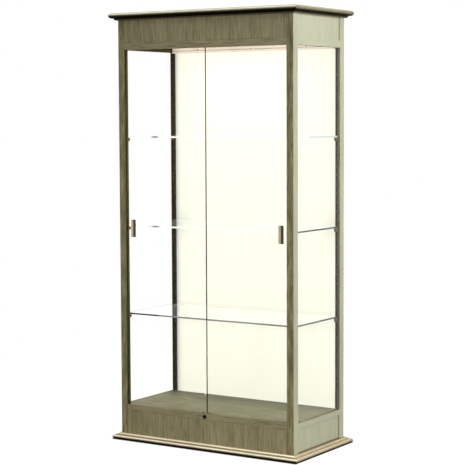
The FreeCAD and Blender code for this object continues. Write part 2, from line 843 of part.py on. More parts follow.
def frame_nodes():
    """Posts, rails, panels and mouldings."""
    nodes = {}
    corner = post()
    nodes.update(side_pair("post_front", corner))
    nodes.update(side_pair("post_rear", mirrored_y(corner)))
    nodes["base_rail_front"] = base_rail_front()
    nodes["header_rail_front"] = header_rail_front()
    nodes.update(side_pair("base_rail", base_rail_side()))
    nodes.update(side_pair("header_rail", header_rail_side()))
    nodes["base_panel_front"] = front_panel(plinth_height, base_rail_bottom)
    nodes["header_panel_front"] = front_panel(header_rail_top, crown_bottom)
    nodes.update(side_pair("base_panel", side_panel(plinth_height, base_rail_bottom)))
    nodes.update(side_pair("header_panel", side_panel(header_rail_top, crown_bottom)))
    nodes["base_panel_rear"] = rear_panel(plinth_height, deck_level)
    nodes["header_panel_rear"] = header_panel_rear()
    nodes.update(plinth_ring())
    nodes.update(crown_ring())
    nodes["top_panel"] = top_panel()
    nodes["deck"] = deck()
    nodes["soffit"] = soffit()
    nodes["rear_cleat"] = rear_cleat()
    nodes["back_panel"] = back_panel()
    nodes["back_board"] = back_board()
    return nodes


def glazing_nodes():
    """Side glass, shelves, pegs, tracks and doors."""
    nodes = side_pair("side_glass", side_glass())
    for index in range(shelf_count):
        nodes["shelf_" + str(index + 1)] = shelf(index)
    nodes["shelf_pegs"] = shelf_pegs()
    nodes["lower_track"] = lower_track()
    nodes["upper_track"] = upper_track()
    for name, side, pane in (("left", -1, front_pane), ("right", 1, rear_pane)):
        nodes[name + "_door_glass"] = door_glass(side, pane)
        nodes[name + "_door_shoes"] = door_shoes(side, pane)
        nodes[name + "_door_pull"] = door_pull(side, pane)
        nodes[name + "_door_strike"] = door_strike(side)
    return nodes


def lock_nodes():
    return {"lock_housing": lock_housing(), "lock_plug": lock_plug(), "lock_bolt": lock_bolt()}


def light_nodes():
    """Light fitting, its power supply, the mains inlet and the switch."""
    return {
        "light_tray": light_tray(),
        "light_lens": light_lens(),
        "led_boards": led_boards(),
        "lens_clips": lens_clips(),
        "light_driver": light_driver(),
        "power_inlet": power_inlet(),
        "inlet_pins": inlet_pins(),
        "switch_housing": switch_housing(),
        "switch_rocker": switch_rocker(),
    }


def main():
    os.makedirs("parts", exist_ok=True)
    nodes = {}
    nodes.update(frame_nodes())
    nodes.update(glazing_nodes())
    nodes.update(lock_nodes())
    nodes.update(light_nodes())
    for name, shape in nodes.items():
        shape.exportStep("parts/" + name + ".step")


main()
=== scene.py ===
"""Dresses the packed display case in oak, glass, metal and light, and stands it in a plain white studio."""
import math

import bpy
import numpy as np
from bpy.props import FloatProperty, FloatVectorProperty, IntProperty, PointerProperty
from bpy.types import NodeSocket, Operator, Panel, PropertyGroup, Scene
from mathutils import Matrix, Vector


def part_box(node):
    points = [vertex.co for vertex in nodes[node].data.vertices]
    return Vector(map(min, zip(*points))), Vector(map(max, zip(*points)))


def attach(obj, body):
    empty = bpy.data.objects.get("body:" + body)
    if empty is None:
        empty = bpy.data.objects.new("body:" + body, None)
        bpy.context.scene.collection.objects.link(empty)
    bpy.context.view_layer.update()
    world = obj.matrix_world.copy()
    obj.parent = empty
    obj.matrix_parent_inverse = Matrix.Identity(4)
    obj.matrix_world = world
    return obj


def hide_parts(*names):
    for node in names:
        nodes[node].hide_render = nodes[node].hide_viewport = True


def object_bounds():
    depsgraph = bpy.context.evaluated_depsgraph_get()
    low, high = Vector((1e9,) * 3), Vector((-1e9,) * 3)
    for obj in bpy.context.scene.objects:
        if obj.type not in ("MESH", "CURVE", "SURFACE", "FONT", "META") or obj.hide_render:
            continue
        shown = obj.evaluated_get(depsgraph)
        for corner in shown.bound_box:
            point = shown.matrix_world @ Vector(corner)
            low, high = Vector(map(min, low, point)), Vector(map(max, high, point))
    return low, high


bl_info = {
    "name": "Display Case",
    "version": (1, 0, 0),
    "blender": (4, 5, 0),
    "location": "View3D > Sidebar > Display Case",
    "description": "Finishes a lighted display case in oak, glass, metal and plastic",
    "category": "Object",
}

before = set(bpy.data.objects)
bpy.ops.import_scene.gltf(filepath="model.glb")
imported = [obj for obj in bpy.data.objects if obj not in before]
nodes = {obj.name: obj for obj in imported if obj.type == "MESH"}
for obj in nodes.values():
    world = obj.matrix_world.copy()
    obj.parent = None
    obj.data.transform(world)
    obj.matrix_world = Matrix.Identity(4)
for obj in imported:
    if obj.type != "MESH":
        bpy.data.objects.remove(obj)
case_low, case_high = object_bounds()
shelf_names = ("shelf_1", "shelf_2", "shelf_3")
sides = ("left", "right")
white = (1.0, 1.0, 1.0, 1.0)


def pair(name, ends=sides):
    """The two pieces that share a name, one at each end."""
    return [f"{name}_{end}" for end in ends]


def entry(kind, **limits):
    """A short way to write settings of one kind, as a name, a description and a default."""
    def make(name, description, default):
        return kind(name=name, description=description, default=default, **limits)
    return make


colour = entry(FloatVectorProperty, subtype="COLOR", size=3, min=0.0, max=1.0)
shades = entry(FloatVectorProperty, size=2, min=0.0)
length = entry(FloatProperty, unit="LENGTH", min=0.0)
position = entry(FloatProperty, unit="LENGTH")
wattage = entry(FloatProperty, unit="POWER")
spot = entry(FloatVectorProperty, subtype="TRANSLATION", unit="LENGTH")
angles = entry(FloatVectorProperty, subtype="EULER", unit="ROTATION")
share = entry(FloatProperty, subtype="FACTOR", min=0.0, max=1.0)
ratio = entry(FloatProperty, min=0.0)
one_or_more = entry(FloatProperty, min=1.0)
two_or_more = entry(IntProperty, min=2)


class OakSettings(PropertyGroup):
    """The oak of the posts, rails, panels and mouldings."""

    pale: colour("Pale wood", "Wood between the growth lines", (0.51, 0.455, 0.265))
    middle: colour("Middle wood", "Main colour of the wood", (0.42, 0.37, 0.205))
    dark: colour("Dark wood", "Wood in the growth lines", (0.25, 0.218, 0.112))
    pore: colour("Pores", "The short dark pores", (0.10, 0.08, 0.04))
    # Painted shade: a dark copy of the oak for faces that look into the case, standing for the shade behind the
    # glass.
    inside: colour("Inside stain", "Stain on the faces that look into the case", (0.066, 0.053, 0.017))
    # Painted shade: the deck's dark stain stands for the little light that reaches the floor of the case.
    deck: colour("Deck stain", "Stain on the floor of the case", (0.178, 0.165, 0.088))
    post: colour("Post stain", "Darker stain on the posts", (0.353, 0.304, 0.152))
    crown: colour("Crown stain", "Greyer stain on the crown", (0.40, 0.375, 0.265))
    # Painted light and shade: the sides of the case take a greyer copy of the oak with fainter grain, tuned to
    # the light at the right.
    side: colour("Side stain", "Grey stain on the sides of the case", (0.42, 0.395, 0.256))
    # Painted light: the plinth's pale stain stands for strong light from above on its front; its sides take a
    # deeper copy, with less of that painted light.
    plinth: colour("Plinth stain", "Pale stain on the plinth", (0.92, 0.83, 0.62))
    plinth_side: colour("Plinth side stain", "Deeper stain on the sides of the plinth", (0.475, 0.395, 0.26))
    # Painted shade: the top of the case is stained darker to offset the strong light from above.
    top: colour("Top stain", "Deeper stain on the top of the case", (0.24, 0.215, 0.135))
    cleat: colour("Cleat stain", "Pale stain on the batten above the back panel", (0.81, 0.735, 0.625))
    # Painted shade: darker copies of that side stain for the sides of the base and of the posts.
    shaded_base_side: colour("Base side stain", "Deeper stain on the sides of the base", (0.385, 0.36, 0.232))
    shaded_post_side: colour("Post side stain", "Deeper stain on the sides of the posts", (0.392, 0.366, 0.236))
    side_contrast: share("Side grain", "How clearly the grain shows on the sides", 0.3)
    # Painted light: a lighter copy of the inside stain on the rear right post, where light reaches it through the
    # side glass; it runs from painted shade by the panel to painted light further out.
    inside_lit: colour("Lit inside stain", "The same on the lit rear right post", (0.176, 0.172, 0.106))
    # Painted shade: the deck darkens towards the back panel.
    deck_shades: shades("Deck shades", "How the deck darkens towards the back panel", (1.0, 0.56))
    # Painted shade: a dark line where a side panel meets a rear post, standing for the shade in the gap.
    shaded_joint_width: length("Joint width", "Width of the dark joint at a rear post", 0.005)
    joint_shade: ratio("Joint shade", "How dark that joint is", 0.22)
    lit_shades: shades("Lit inside shades", "How that stain lightens away from the panel", (0.0, 2.15))
    figure: share("Figure", "How strong the dark streaks of the posts are", 0.7)
    line_width: length("Growth line width", "Width of the fine growth lines", 0.0029)
    line_length: length("Growth line length", "How far a fine growth line runs before it changes", 0.16)
    pore_width: length("Pore width", "Width of a pore", 0.0012)
    pore_depth: length("Pore depth", "How deep the pores and lines are felt", 0.0004)
    # The dark line along a board's edges is painted shade in the reveals between boards, with some grime.
    seam_width: length("Seam width", "Width of the dark line along a board's edges", 0.0016)
    seam: share("Seam darkness", "How dark that line is", 0.62)


class GlassSettings(PropertyGroup):
    """The panes, the shelves and their ground edges."""

    pane: colour("Pane tint", "Tint of the doors and sides", (1.0, 1.0, 1.0))
    shelf: colour("Shelf tint", "Tint of the shelves", (0.995, 1.0, 0.997))
    edge: colour("Ground edge", "The dark ground edges of the shelves", (0.055, 0.068, 0.062))
    pane_edge: colour("Pane edge", "The nearly black edges of the doors and sides", (0.006, 0.009, 0.008))
    # Painted reflection and highlight: the grey stretches and the bright stretch on the shelf edges stand for
    # light reflected in them.
    painted_edge_reflection: colour("Grey edge", "The lighter stretches of the ground edges", (0.50, 0.53, 0.50))
    painted_edge_highlight: colour("Bright edge", "The bright stretch of the top shelf's right edge", (0.93, 0.95, 0.92))
    index: one_or_more("Refractive index", "How strongly the shelves bend light", 1.5)
    pane_index: one_or_more("Pane index", "The same for the doors, coated against reflections", 1.1)
    side_index: one_or_more("Side index", "The same for the side panes", 1.15)
    bead_width: length("Bead width", "Width of the bead on the left door's meeting edge", 0.0024)
    bead_stand: length("Bead stand", "How far that bead stands off the pane", 0.0005)
    # Painted glow: a faint white emission on the shelves.
    painted_glow: share("Bloom", "The faint white veil on the shelves", 0.04)
    smear: share("Smears", "Roughness of the faint smears on the glass", 0.02)
    # Where the lowest shelf's front edge turns to painted reflection, and where the top shelf's painted highlight
    # does.
    reflection_place: position("Fade", "Where the front edge of the lowest shelf turns pale", -0.262)
    top_reflection_place: position("Top fade", "Where the right edge of the top shelf turns grey", -0.076)


class BackSettings(PropertyGroup):
    """The ivory back panel, its edge strips, the hardboard behind it and the soffit."""

    ivory: colour("Ivory", "Paint of the back panel", (0.915, 0.935, 0.815))
    # Painted shade: the left edge strip is grey for the shade of the left post; the right strip is ivory.
    strip: colour("Edge strip", "The grey strip along the left edge of the back panel", (0.70, 0.735, 0.73))
    soffit: colour("Soffit", "The board above the top shelf", (0.757, 0.673, 0.554))
    hardboard: colour("Hardboard", "The brown board at the back", (0.30, 0.195, 0.105))
    # Painted shade: the dark border on the back panel where it meets the posts, wider at the left.
    border: colour("Border", "The dark border where the back panel meets the posts", (0.024, 0.019, 0.009))
    border_width: length("Border width", "Width of the dark border", 0.0028)
    left_border_width: length("Left border width", "Width of the dark border at the left", 0.0078)
    strip_width: length("Strip width", "Width of an edge strip", 0.010)
    strip_thickness: length("Strip thickness", "How far an edge strip stands off the panel", 0.001)
    screw_radius: length("Screw head radius", "Radius of a screw head", 0.0036)
    screw_height: length("Screw head height", "How far a screw head stands off the board", 0.0016)
    cleat_screw_radius: length("Cleat screw radius", "Radius of the screw heads in the cleat", 0.0026)
    cleat_screw: length("Cleat screw", "How far its outer screws are from the middle", 0.275)
    screw_rows: two_or_more("Screws up a side", "Screws along each side of the back", 7)


class FittingSettings(PropertyGroup):
    """The pegs, pulls, tracks, lock, inlet and switch."""

    peg: colour("Peg", "Brown plastic of the shelf pegs", (0.15, 0.07, 0.045))
    bronze: colour("Bronze", "Bronze metal of the pulls, tracks and strikes", (0.46, 0.40, 0.27))
    # Painted light and shade on the pulls: the left pull is a paler copy of the bronze, and the right half of
    # each pull is painted dark.
    lit_bronze: colour("Pale bronze", "Paler bronze of the left pull", (0.48, 0.41, 0.285))
    shaded_bronze: colour("Dark bronze", "The darkened right half of the pulls", (0.07, 0.057, 0.025))
    shaded_half_shift: length("Patina shift", "How far that half reaches past the middle", 0.0012)
    steel: colour("Steel", "Plated steel of the bolt, the clips and the screws", (0.60, 0.60, 0.58))
    lock: colour("Lock face", "Black enamel of the lock", (0.004, 0.004, 0.004))
    nylon: colour("Nylon", "Brown nylon of the door shoes", (0.20, 0.18, 0.14))
    plastic: colour("Black plastic", "Black plastic of the inlet and the switch", (0.018, 0.018, 0.019))
    brass: colour("Brass", "Brass of the inlet pins", (0.62, 0.47, 0.20))
    peg_radius: length("Peg radius", "Radius of a shelf peg", 0.0065)
    peg_reach: length("Peg reach", "How far a peg stands out of its post", 0.015)
    peg_round: length("Peg rounding", "Radius of the rounded end of a peg", 0.002)
    peg_drop: one_or_more("Peg drop", "How much deeper than half round the underside of a peg is", 1.7)


class LightSettings(PropertyGroup):
    """The light in the header."""

    lens: colour("Lens", "The opal lens", (0.92, 0.90, 0.84))
    glow: colour("Glow", "Colour of the light", (1.0, 0.96, 0.88))
    paint: colour("Tray paint", "White paint of the light tray and the driver", (0.80, 0.80, 0.78))
    strength: ratio("Lens strength", "How bright the lens looks", 0.7)
    down: wattage("Light down", "Light that the lens throws down", 0.9)
    inside: wattage("Light inside", "Light inside the case", 0.3)


class StageSettings(PropertyGroup):
    """The studio round the case."""

    floor: colour("Floor", "The pale floor", (0.86, 0.86, 0.86))
    floor_glow: share("Floor glow", "How far the floor fades into the background", 0.88)
    floor_bounce: share("Floor bounce", "How much light the floor throws back up", 0.15)
    # Painted shadow: a dark contact line on the floor round the foot of the case.
    painted_contact_shadow: length("Contact shadow", "Width of the dark line under the front", 0.0085)
    ambient: share("Ambient", "Light from all round", 0.36)
    warm: colour("Warm light", "Colour of the light from above and all round", (1.0, 0.96, 0.86))
    cool: colour("Cool light", "Colour of the large light at the right", (0.80, 0.89, 1.0))
    camera_place: spot("Camera", "Where the camera stands", (3.465533, -5.385384, 1.397672))
    camera_turn: angles("Camera turn", "How the camera is turned", np.radians((85.531, 0.2393, 32.6843)).tolist())
    camera_lens: ratio("Lens", "Focal length on a 36 mm wide sensor, in millimetres", 116.7073)
    key: wattage("Key light", "The large soft light at the right", 236.0)
    top: wattage("Top light", "The soft light overhead", 1350.0)
    panel: wattage("Panel light", "Even light on the back panel", 172.0)
    panel_tone: colour("Panel light colour", "Colour of that even light", (1.0, 1.0, 0.98))
    fill: wattage("Fill light", "The weak lights at the left and the back", 70.0)


# Most values of a noise lie between these.
noise_span = (0.3, 0.7)


class Nodes:
    """The nodes of a material or a world; each method adds some and hands back the socket with their result."""

    def __init__(self, owner):
        owner.use_nodes = True
        self.tree = owner.node_tree
        self.tree.nodes.clear()

    def node(self, kind, inputs=None, **settings):
        """A shader node of a kind, with its inputs linked or set and its settings."""
        made = self.tree.nodes.new("ShaderNode" + kind)
        for key, value in settings.items():
            setattr(made, key, value)
        for key, value in (inputs or {}).items():
            if isinstance(value, NodeSocket):
                self.tree.links.new(value, made.inputs[key])
            else:
                made.inputs[key].default_value = value
        return made

    def out(self, kind, inputs=None, **settings):
        return self.node(kind, inputs, **settings).outputs[0]

    def math(self, operation, first, second):
        return self.out("Math", {0: first, 1: second}, operation=operation)

    def product(self, first, second):
        return self.math("MULTIPLY", first, second)

    def level(self, value, low, high, to_low=0.0, to_high=1.0):
        inputs = {"Value": value, "From Min": low, "From Max": high, "To Min": to_low, "To Max": to_high}
        return self.out("MapRange", inputs)

    def mix(self, amount, first, second, blend="MIX"):
        inputs = {0: amount, 6: first, 7: second}
        return self.node("Mix", inputs, data_type="RGBA", blend_type=blend).outputs[2]

    def shown(self):
        """1 for what is seen straight, in reflections or through glass, and 0 for light that falls on things."""
        path = self.node("LightPath").outputs
        seen = self.math("MAXIMUM", path["Is Camera Ray"], path["Is Glossy Ray"])
        return self.math("MAXIMUM", seen, path["Is Transmission Ray"])


class Finish(Nodes):
    """A material in the making."""

    def __init__(self, name):
        self.material = bpy.data.materials.new(name)
        super().__init__(self.material)
        self.place = self.node("TexCoord").outputs["Object"]

    def vector(self, operation, first, second=(0.0, 0.0, 0.0)):
        return self.out("VectorMath", {0: first, 1: second}, operation=operation)

    def turned(self, vector, turn=(0.0, 0.0, 0.0), scale=(1.0, 1.0, 1.0), shift=(0.0, 0.0, 0.0)):
        inputs = {"Vector": vector, "Rotation": turn, "Scale": scale, "Location": shift}
        return self.out("Mapping", inputs)

    def noise(self, vector, scale, detail=2.0, roughness=0.5):
        """Noise at a scale in waves per metre, or at a scale for each axis."""
        if isinstance(scale, tuple):
            vector, scale = self.turned(vector, scale=scale), 1.0
        inputs = {"Vector": vector, "Scale": scale, "Detail": detail, "Roughness": roughness}
        return self.out("TexNoise", inputs)

    def ramp(self, value, *stops):
        made = self.node("ValToRGB", {"Fac": value})
        elements = made.color_ramp.elements
        while len(elements) < len(stops):
            elements.new(1.0)
        for element, (position, tone) in zip(elements, stops):
            element.position = position
            element.color = rgba(tone)
        return made.outputs[0]

    def shaded(self, noise, tone, dark, pale):
        """The tone times dark where a noise is low, and times pale where it is high."""
        return self.ramp(noise, *zip(noise_span, (times(tone, dark), times(tone, pale))))

    def grey(self, value):
        return self.out("CombineColor", {0: value, 1: value, 2: value})

    def along(self, axis):
        """How far a point lies along the X, Y or Z axis of the case."""
        return self.node("SeparateXYZ", {0: self.place}).outputs[axis]

    def edges(self, low, high, width):
        """1 along the edges of a box and 0 further in, by the second least depth under its faces."""
        middle = (low + high) / 2
        half = (high - low) / 2
        away = self.vector("ABSOLUTE", self.vector("SUBTRACT", self.place, middle))
        depth = self.node("SeparateXYZ", {0: self.vector("SUBTRACT", half, away)}).outputs
        least = self.math("MINIMUM", depth[0], depth[1])
        most = self.math("MAXIMUM", depth[0], depth[1])
        second = self.math("MAXIMUM", least, self.math("MINIMUM", most, depth[2]))
        return self.level(second, 0.0, width, 1.0, 0.0)

    def blended(self, amount, first, second):
        return self.out("MixShader", {0: amount, 1: first, 2: second})

    def covered(self, shader):
        self.node("OutputMaterial", {"Surface": shader})
        return self.material

    def surface(self, tones, rough, height, depth, gloss=0.5, **others):
        """The material: rough is (noise, roughness where it is low, roughness where it is high), and the height
        is felt to a depth. gloss is the strength of reflections, and others are further inputs."""
        return self.covered(self.out("BsdfPrincipled", {
            "Base Color": tones,
            "Roughness": self.level(rough[0], *noise_span, *rough[1:]),
            "Normal": self.out("Bump", {"Height": height, "Distance": depth, "Strength": 1.0}),
            "Specular IOR Level": gloss,
            **others,
        }))


def rgba(tone):
    return (tone[0], tone[1], tone[2], 1.0)


def times(tone, factor):
    return tuple(min(1.0, channel * factor) for channel in tone)


def toward(tone, other, amount):
    return tuple(a + (b - a) * amount for a, b in zip(tone, other))


# Painted light and shade on a moulding, as (share of its height, brightness) from its foot to its top: painted
# highlights on its upward faces, painted shade in its grooves and under its nosing.
plinth_painted_shading = (
    (0.0, 0.006), (0.2, 0.01), (0.36, 0.3), (0.5, 0.95), (0.6, 1.1), (0.66, 0.3), (0.76, 0.3), (0.84, 1.0),
    (0.95, 1.0), (1.0, 0.5),
)
plinth_side_painted_shading = (
    (0.0, 0.01), (0.12, 0.02), (0.26, 0.5), (0.5, 0.85), (0.62, 1.0), (0.68, 0.66), (0.78, 0.66), (0.86, 1.0),
    (0.95, 0.95), (1.0, 0.5),
)
crown_front_painted_shading = (
    (0.0, 0.5), (0.12, 0.32), (0.18, 0.01), (0.48, 0.01), (0.6, 0.35), (0.7, 1.1), (0.8, 1.9), (0.87, 1.5),
    (1.0, 0.45),
)
crown_side_painted_shading = (
    (0.0, 1.1), (0.04, 0.5), (0.08, 0.16), (0.22, 0.08), (0.26, 0.004), (0.42, 0.004), (0.5, 0.28), (0.64, 0.48),
    (1.0, 0.62),
)
# Painted shade lines in the same form: along the top of a base rail, along the foot of a base panel, and in the
# cleat's groove.
base_rail_painted_shade = ((0.0, 1.0), (0.92, 1.0), (0.94, 0.35), (1.0, 0.35))
base_panel_painted_shade = ((0.0, 0.3), (0.035, 0.3), (0.055, 1.0), (1.0, 1.0))
cleat_painted_shade = ((0.0, 1.0), (0.36, 1.0), (0.38, 0.35), (0.45, 0.35), (0.47, 1.0))

# Turns that bring the Z axis of a pattern onto the axis that the grain or the brushing follows.
grain_turns = {"X": (0.0, -math.pi / 2, 0.0), "Y": (math.pi / 2, 0.0, 0.0), "Z": (0.0, 0.0, 0.0)}

# The oak's pattern: noise scales, twice across the grain and once along it, per metre.
sway_scale = (4.0, 4.0, 0.9)
streak_scale = (85.0, 85.0, 11.0)
seam_patch_scale = (50.0, 50.0, 16.0)
# How far the grain sways, how much longer than wide a pore is, and how far apart the timber of two boards is.
sway_reach = 0.03
pore_stretch = 28
board_step = (0.37, 0.73, 1.9)
# Noise levels of dark, middle and pale wood, and those at which pores and streaks begin and are full.
line_levels = (0.36, 0.49, 0.62)
pore_levels = (0.56, 0.70)
dark_streak_levels = (0.47, 0.66)
pale_streak_levels = (0.46, 0.34)
# How much of the grain its broad lines are, how dark a pore is and how deep, beside the lines.
broad_share = 0.25
pore_share = 0.5
pore_relief = 0.8


def oak_finish(
    name, oak, grain, stain, box, number, contrast=1.0, figure=0.0, seam=1.0, painted_shading=None, between=None, fade=None,
    gloss=0.2,
):
    """Oak with its grain along one axis: broad and fine lines drawn out along the grain, and short dark pores.

    stain is the colour that the middle wood takes: on some boards a lighter copy of the oak, which is painted
    light, or a darker one, which is painted shade. box gives the edges for the seam lines and number picks the
    stretch of timber. contrast says how clearly the grain shows, figure how strong its streaks are, and the seam
    setting how wide
    the dark line along the edges is: painted shade in the reveals between boards, with some grime. The list of
    shades from foot to top is painted light and shade, between keeps the stain to a range of heights, and fade is
    (axis, start, end, shade at the start, shade at the end): painted shade on the deck and at the rear joints,
    and painted light and shade on the lit rear post."""
    finish = Finish(name)
    shift = tuple(step * number for step in board_step)
    timber = finish.turned(finish.place, grain_turns[grain], shift=shift)
    sway = finish.product(finish.noise(timber, sway_scale), sway_reach)
    timber = finish.vector("ADD", timber, finish.out("CombineXYZ", {0: sway, 1: sway}))
    across, along = 0.5 / oak.line_width, 1.0 / oak.line_length
    broad = finish.noise(timber, (across / 3, across / 3, along / 2))
    fine = finish.noise(timber, (2 * across, 2 * across, 2 * along), 4.0, 0.62)
    broad = finish.product(broad, broad_share)
    lines = finish.math("ADD", broad, finish.product(fine, 1.0 - broad_share))
    pore = 0.5 / oak.pore_width
    pores = finish.level(finish.noise(timber, (pore, pore, pore / pore_stretch), 1.0), *pore_levels)
    dark, pale = (toward(oak.middle, tone, contrast) for tone in (oak.dark, oak.pale))
    wood = finish.ramp(lines, *zip(line_levels, (dark, oak.middle, pale)))
    wood = finish.mix(finish.product(pores, pore_share * contrast), wood, rgba(oak.pore))
    streaks = finish.noise(timber, streak_scale, 3.0, 0.6)
    wood = finish.mix(finish.level(streaks, *dark_streak_levels, 0.0, figure), wood, rgba(times(oak.dark, 0.7)))
    wood = finish.mix(finish.level(streaks, *pale_streak_levels, 0.0, figure), wood, rgba(times(oak.pale, 1.25)))
    cloud = finish.level(finish.noise(finish.place, 3.0), *noise_span, 0.93, 1.05)
    wood = finish.mix(1.0, wood, finish.grey(cloud), "MULTIPLY")
    stained = finish.mix(1.0, wood, rgba([tone / bare for tone, bare in zip(stain, oak.middle)]), "MULTIPLY")
    if between:
        above = finish.math("GREATER_THAN", finish.along("Z"), between[0])
        below = finish.math("LESS_THAN", finish.along("Z"), between[1])
        stained = finish.mix(finish.product(above, below), wood, stained)
    wood = stained
    # Painted shade on the deck and at the rear joints, painted light and shade on the lit post.
    if fade:
        shade = finish.level(finish.along(fade[0]), *fade[1:])
        wood = finish.mix(1.0, wood, finish.grey(shade), "MULTIPLY")
    # Painted light and shade from the foot of the board to its top.
    if painted_shading:
        rise = finish.level(finish.along("Z"), box[0].z, box[1].z)
        painted_shades = finish.ramp(rise, *((height, (shade, shade ** 1.12, shade ** 1.35)) for height, shade in painted_shading))
        wood = finish.mix(1.0, wood, painted_shades, "MULTIPLY")
    # Painted shade with some grime along the board's edges, broken into patches.
    if seam > 0.0:
        patches = finish.level(finish.noise(timber, seam_patch_scale), 0.4, 0.6, 0.45, 1.0)
        line = finish.product(finish.edges(*box, oak.seam_width * seam), patches)
        wood = finish.mix(finish.product(line, oak.seam), wood, rgba(times(oak.pore, 0.6)))
    height = finish.math("SUBTRACT", lines, finish.product(pores, pore_relief))
    return finish.surface(wood, (lines, 0.62, 0.46), height, oak.pore_depth, gloss)


# Skins of paint and plastic: the size of their pebbles, the relief of those, the roughness and the mottling.
skins = {
    "ivory_paint": (0.0022, 0.00006, 0.5, 0.012),
    "soffit_paint": (0.003, 0.0001, 0.55, 0.03),
    "left_strip_vinyl": (0.004, 0.00005, 0.35, 0.015),
    "right_strip_vinyl": (0.004, 0.00005, 0.35, 0.015),
    "bead_vinyl": (0.001, 0.00003, 0.5, 0.08),
    "black_enamel": (0.0009, 0.00002, 0.34, 0.1),
    "brown_nylon": (0.0012, 0.00004, 0.5, 0.03),
    "black_plastic": (0.0007, 0.00005, 0.42, 0.1),
    "brown_plastic": (0.0012, 0.00005, 0.38, 0.08),
    "opal_lens": (0.0012, 0.0001, 0.3, 0.01),
    "tray_paint": (0.0015, 0.00004, 0.4, 0.02),
    "led_board": (0.001, 0.00003, 0.35, 0.02),
}


def paint_finish(name, tone, glow=white, strength=0.0, border=None, gloss=0.5):
    """Paint or plastic with a fine pebbled skin and a faint change of tone from place to place.

    A border is given as (left, right, tone): the paint turns to the tone left of the first and right of the
    second.
    That dark border is painted shade where the panel meets the posts."""
    finish = Finish(name)
    pebble, depth, rough, mottle = skins[name]
    skin = finish.noise(finish.place, 0.5 / pebble, 3.0, 0.6)
    cloud = finish.noise(finish.place, 5.0, 3.0, 0.6)
    tones = finish.shaded(cloud, tone, 1.0 - mottle, 1.0 + mottle)
    if border:
        left, right, dark = border
        tones = finish.mix(finish.math("LESS_THAN", finish.along("X"), left), tones, rgba(dark))
        tones = finish.mix(finish.math("GREATER_THAN", finish.along("X"), right), tones, rgba(dark))
    light = {"Emission Color": rgba(glow), "Emission Strength": strength}
    return finish.surface(tones, (skin, rough - 0.08, rough + 0.08), skin, depth, gloss, **light)


def fibre_finish(name, tone):
    """Hardboard: matted fibres seen as crossed short streaks, with a dull waxy surface."""
    finish = Finish(name)
    thin, long = 900.0, 160.0
    upright = finish.noise(finish.place, (thin, thin, long), 3.0, 0.65)
    level = finish.noise(finish.place, (long, thin, thin), 3.0, 0.65)
    fibres = finish.product(finish.math("ADD", upright, level), 0.5)
    blotch = finish.noise(finish.place, 9.0, 3.0)
    tones = finish.ramp(fibres, (0.36, times(tone, 0.6)), (0.62, times(tone, 1.25)))
    tones = finish.mix(finish.level(blotch, 0.4, 0.7, 0.0, 0.35), tones, rgba(times(tone, 0.7)))
    return finish.surface(tones, (fibres, 0.75, 0.55), fibres, 0.0003)


# Noise scale of brushed metal, twice across the brushing and once along it; half the width of the edge of the
# painted shade on a pull.
brush_scale = (2200.0, 2200.0, 45.0)
shaded_half_blur = 0.0012


def metal_finish(name, tone, brushed, rough=0.34, shaded_half=None):
    """Metal brushed along one axis: fine streaks drawn out along it set the tone, the gloss and the relief.

    The last argument is (place, tone): to the right of the place the metal is painted darker, to the tone, as
    painted shade."""
    finish = Finish(name)
    turned = finish.turned(finish.place, grain_turns[brushed])
    streaks = finish.noise(turned, brush_scale)
    patches = finish.noise(finish.place, 60.0, 3.0, 0.65)
    tones = finish.shaded(streaks, tone, 0.82, 1.12)
    tones = finish.mix(finish.level(patches, 0.45, 0.75, 0.0, 0.3), tones, rgba(times(tone, 0.7)))
    if shaded_half:
        place, dark = shaded_half
        past = finish.level(finish.along("X"), place - shaded_half_blur, place + shaded_half_blur)
        tones = finish.mix(past, tones, rgba(dark))
    return finish.surface(tones, (patches, rough - 0.07, rough + 0.1), streaks, 0.00004, Metallic=1.0)


def glass_finish(name, tint, index, smear, painted_glow=0.0):
    """Clear glass with faint smears; lamp light and scattered light pass straight through it.

    A shelf may take a faint white emission: a painted glow for the veil that the header light leaves on it."""
    finish = Finish(name)
    smears = finish.noise(finish.place, (5.0, 5.0, 2.2), 4.0, 0.6)
    pane = finish.out("BsdfPrincipled", {
        "Base Color": rgba(tint),
        "Transmission Weight": 1.0,
        "IOR": index,
        "Roughness": finish.level(smears, 0.5, 0.75, 0.0, smear),
        "Emission Color": white,
        "Emission Strength": painted_glow,
    })
    clear = finish.out("BsdfTransparent")
    path = finish.node("LightPath").outputs
    inner = finish.blended(path["Is Diffuse Ray"], pane, clear)
    return finish.covered(finish.blended(path["Is Shadow Ray"], inner, clear))


def edge_finish(name, tone, far_reflection=None, axis="X", reflection_place=0.0, gloss=0.15):
    """A ground and polished glass edge with fine level grinding lines.

    Past a given place along the axis it turns to a second tone, a painted reflection; on the top shelf the first
    tone is a painted highlight."""
    finish = Finish(name)
    grinding_scale = (90.0, 90.0, 700.0)
    fade_width = 0.01
    ground = finish.noise(finish.place, grinding_scale, 3.0, 0.6)
    tones = finish.shaded(ground, tone, 0.75, 1.2)
    if far_reflection is not None:
        past = finish.level(finish.along(axis), reflection_place, reflection_place + fade_width)
        tones = finish.mix(past, tones, rgba(far_reflection))
    return finish.surface(tones, (ground, 0.28, 0.42), ground, 0.00003, gloss)


def dress(name, *finishes, choose=None):
    """Gives a node its finishes; choose turns face normals and middles into the number of a finish."""
    mesh = nodes[name].data
    mesh.materials.clear()
    for finish in finishes:
        mesh.materials.append(finish)
    count = len(mesh.polygons)
    picked = np.zeros(count, np.int32)
    if choose:
        faces = np.empty((2, count * 3), np.float32)
        for key, values in zip(("normal", "center"), faces):
            mesh.polygons.foreach_get(key, values)
        picked = choose(*faces.reshape(2, count, 3)).astype(np.int32)
    mesh.polygons.foreach_set("material_index", picked)
    mesh.update()


